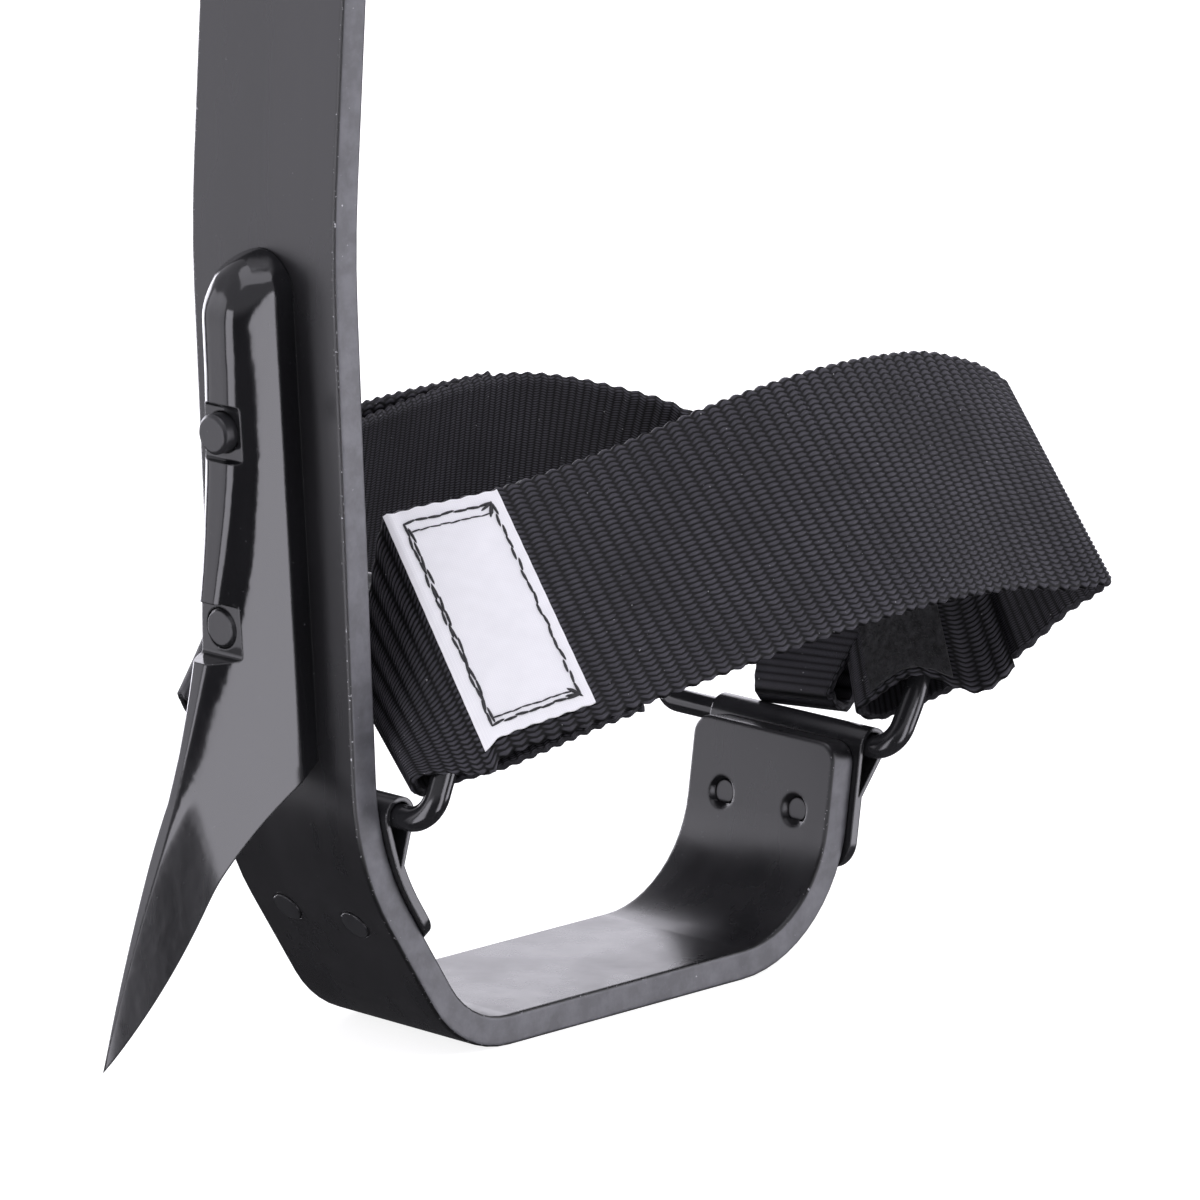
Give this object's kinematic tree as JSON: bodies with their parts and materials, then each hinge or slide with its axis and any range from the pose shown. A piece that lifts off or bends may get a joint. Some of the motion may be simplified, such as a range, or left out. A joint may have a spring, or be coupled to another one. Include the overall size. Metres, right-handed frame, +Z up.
{
  "type": "tree climbing spike",
  "caption": "Tree climber's leg iron: a flat bar bent into a foot stirrup below a long shank, with a screwed-on gaff, D-rings in riveted clips and webbing foot straps.",
  "frame": {"origin": "middle of the footplate's top face, where the boot's arch rests", "axes": "+Z up the shank, +X from the shank across the stirrup to the free upright, +Y across the bar to the heel side"},
  "size_m": [0.1899, 0.1079, 0.3863],
  "materials": {
    "bar_paint": "semi-gloss black",
    "gaff_paint": "gloss black",
    "clip_paint": "semi-gloss black",
    "ring_paint": "gloss black",
    "fastener_black": "black",
    "webbing": "ribbed woven charcoal",
    "label": "white woven, black stitching",
    "pile": "fuzzy black",
    "hook_tape": "black hook tape"
  },
  "bodies": {
    "climber": {"leg_iron": "bar_paint", "gaff": "gaff_paint", "gaff_screws": "fastener_black", "inner_ring_clip": "clip_paint", "inner_clip_rivets": "fastener_black", "outer_ring_clip": "clip_paint", "outer_clip_rivets": "fastener_black", "calf_strap_keeper": "clip_paint", "keeper_rivets": "fastener_black", "instep_strap": "webbing", "heel_strap": "webbing", "strap_label": "label", "loop_patch": "pile", "hook_patch": "hook_tape"},
    "inner_ring": {"inner_ring": "ring_paint"},
    "outer_ring": {"outer_ring": "ring_paint"}
  },
  "joints": [
    {"name": "inner_ring_swing", "type": "hinge", "parent": "climber", "child": "inner_ring", "pos_m": [-0.05728, 0, 0.0374], "axis": [0, 1, 0], "range_deg": [-24, 60], "deforming": ["instep_strap", "heel_strap", "strap_label", "loop_patch", "hook_patch"]},
    {"name": "outer_ring_swing", "type": "hinge", "parent": "climber", "child": "outer_ring", "pos_m": [0.05199, 0, 0.02939], "axis": [0, 1, 0], "range_deg": [-40, 60], "deforming": ["instep_strap", "heel_strap", "strap_label", "loop_patch", "hook_patch"]}
  ]
}
